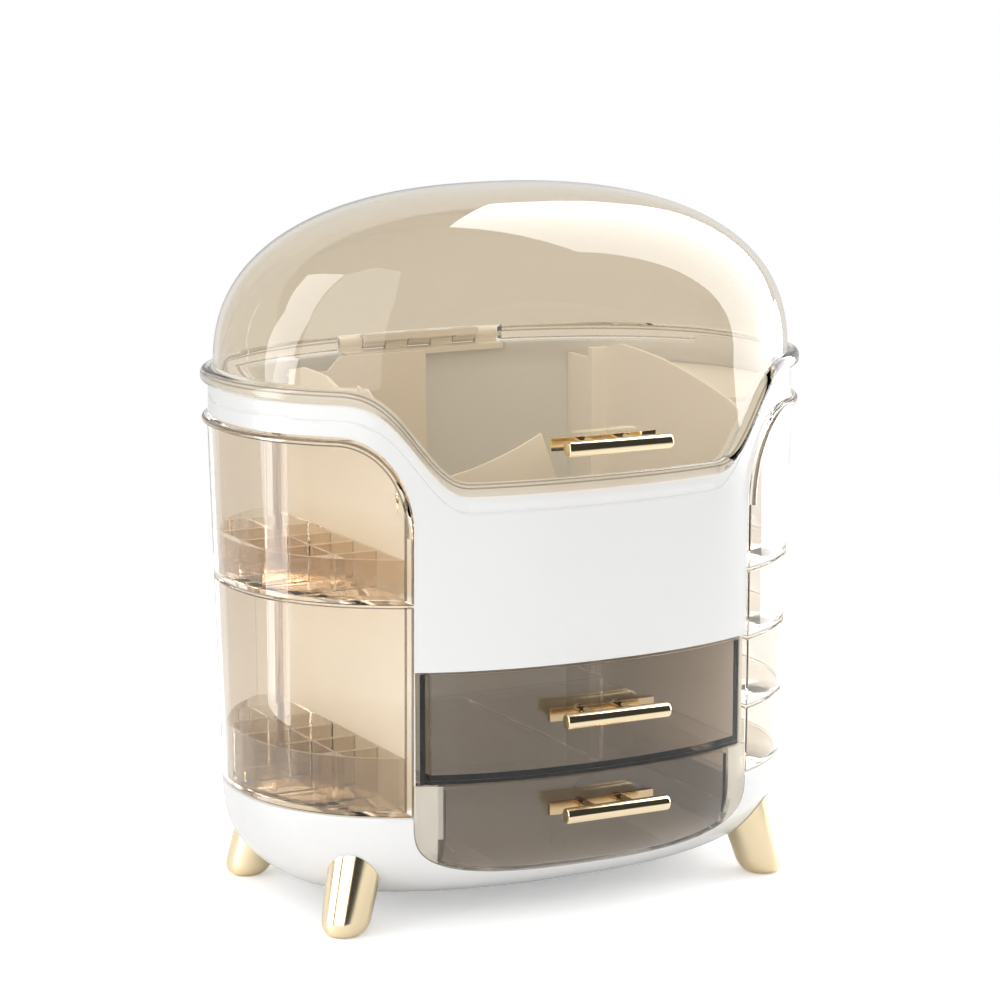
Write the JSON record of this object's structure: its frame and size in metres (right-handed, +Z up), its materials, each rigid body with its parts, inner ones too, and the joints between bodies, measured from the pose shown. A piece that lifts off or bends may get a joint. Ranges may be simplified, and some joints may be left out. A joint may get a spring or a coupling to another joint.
{
  "type": "makeup organizer",
  "caption": "Oval makeup organizer with a clear domed lid on a rear hinge, smoked sliding drawers, side bins that swing out on upright rods, gold bar handles and splayed feet.",
  "frame": {"origin": "centre of the bounding box's bottom, on the surface the feet stand on", "axes": "+X to the right seen from the front, +Y to the back, +Z up"},
  "size_m": [0.3, 0.2162, 0.34],
  "materials": {
    "white_plastic": "gloss white",
    "amber_clear": "clear amber tint",
    "smoked_clear": "clear smoked tint",
    "gold": "polished gold",
    "steel": "bright steel",
    "cream_plastic": "satin cream"
  },
  "bodies": {
    "housing": {"base_bowl": "white_plastic", "bay_floor": "white_plastic", "body_shell": "white_plastic", "deck_left": "white_plastic", "deck_right": "white_plastic", "shoulder_left": "white_plastic", "shoulder_right": "white_plastic", "tower_side_left": "white_plastic", "tower_side_right": "white_plastic", "well_floor": "white_plastic", "cheek_left": "smoked_clear", "cheek_right": "smoked_clear", "drawer_shelf": "smoked_clear", "foot_front_left": "gold", "foot_front_right": "gold", "foot_back_left": "gold", "foot_back_right": "gold", "pivot_rod_left": "steel", "pivot_rod_right": "steel", "lid_hinge_pin": "steel", "lid_hinge_base": "cream_plastic", "well_divider_rear": "cream_plastic", "well_divider_front": "cream_plastic"},
    "lid": {"lid_dome": "amber_clear", "lid_hinge_leaf": "cream_plastic", "lid_handle_bar": "gold", "lid_handle_plate": "gold", "lid_handle_screw_left": "steel", "lid_handle_screw_right": "steel"},
    "upper_drawer": {"upper_drawer_tub": "smoked_clear", "upper_drawer_divider": "smoked_clear", "upper_drawer_handle_bar": "gold", "upper_drawer_handle_plate": "gold", "upper_drawer_handle_screw_left": "steel", "upper_drawer_handle_screw_right": "steel"},
    "lower_drawer": {"lower_drawer_tub": "smoked_clear", "lower_drawer_handle_bar": "gold", "lower_drawer_handle_plate": "gold", "lower_drawer_handle_screw_left": "steel", "lower_drawer_handle_screw_right": "steel"},
    "left_bin_lower": {"left_bin_1": "amber_clear", "left_grid_1": "amber_clear"},
    "left_bin_upper": {"left_bin_2": "amber_clear", "left_grid_2": "amber_clear"},
    "right_bin_lowest": {"right_bin_1": "amber_clear"},
    "right_bin_low": {"right_bin_2": "amber_clear"},
    "right_bin_high": {"right_bin_3": "amber_clear"},
    "right_bin_top": {"right_bin_4": "amber_clear"}
  },
  "joints": [
    {"name": "lid_hinge", "type": "hinge", "parent": "housing", "child": "lid", "pos_m": [0, 0.10462, 0.254], "axis": [-1, 0, 0], "range_deg": [0, 95]},
    {"name": "upper_drawer_slide", "type": "slide", "parent": "housing", "child": "upper_drawer", "axis": [0, -1, 0], "range_m": [0, 0.12]},
    {"name": "lower_drawer_slide", "type": "slide", "parent": "housing", "child": "lower_drawer", "axis": [0, -1, 0], "range_m": [0, 0.12]},
    {"name": "left_bin_lower_swing", "type": "hinge", "parent": "housing", "child": "left_bin_lower", "pos_m": [-0.0895, 0.07733, 0.108], "axis": [0, 0, -1], "range_deg": [0, 80]},
    {"name": "left_bin_upper_swing", "type": "hinge", "parent": "housing", "child": "left_bin_upper", "pos_m": [-0.0895, 0.07733, 0.196], "axis": [0, 0, -1], "range_deg": [0, 80]},
    {"name": "right_bin_lowest_swing", "type": "hinge", "parent": "housing", "child": "right_bin_lowest", "pos_m": [0.0895, 0.07733, 0.075], "axis": [0, 0, 1], "range_deg": [0, 80]},
    {"name": "right_bin_low_swing", "type": "hinge", "parent": "housing", "child": "right_bin_low", "pos_m": [0.0895, 0.07733, 0.108], "axis": [0, 0, 1], "range_deg": [0, 80]},
    {"name": "right_bin_high_swing", "type": "hinge", "parent": "housing", "child": "right_bin_high", "pos_m": [0.0895, 0.07733, 0.142], "axis": [0, 0, 1], "range_deg": [0, 80]},
    {"name": "right_bin_top_swing", "type": "hinge", "parent": "housing", "child": "right_bin_top", "pos_m": [0.0895, 0.07733, 0.196], "axis": [0, 0, 1], "range_deg": [0, 80]}
  ]
}
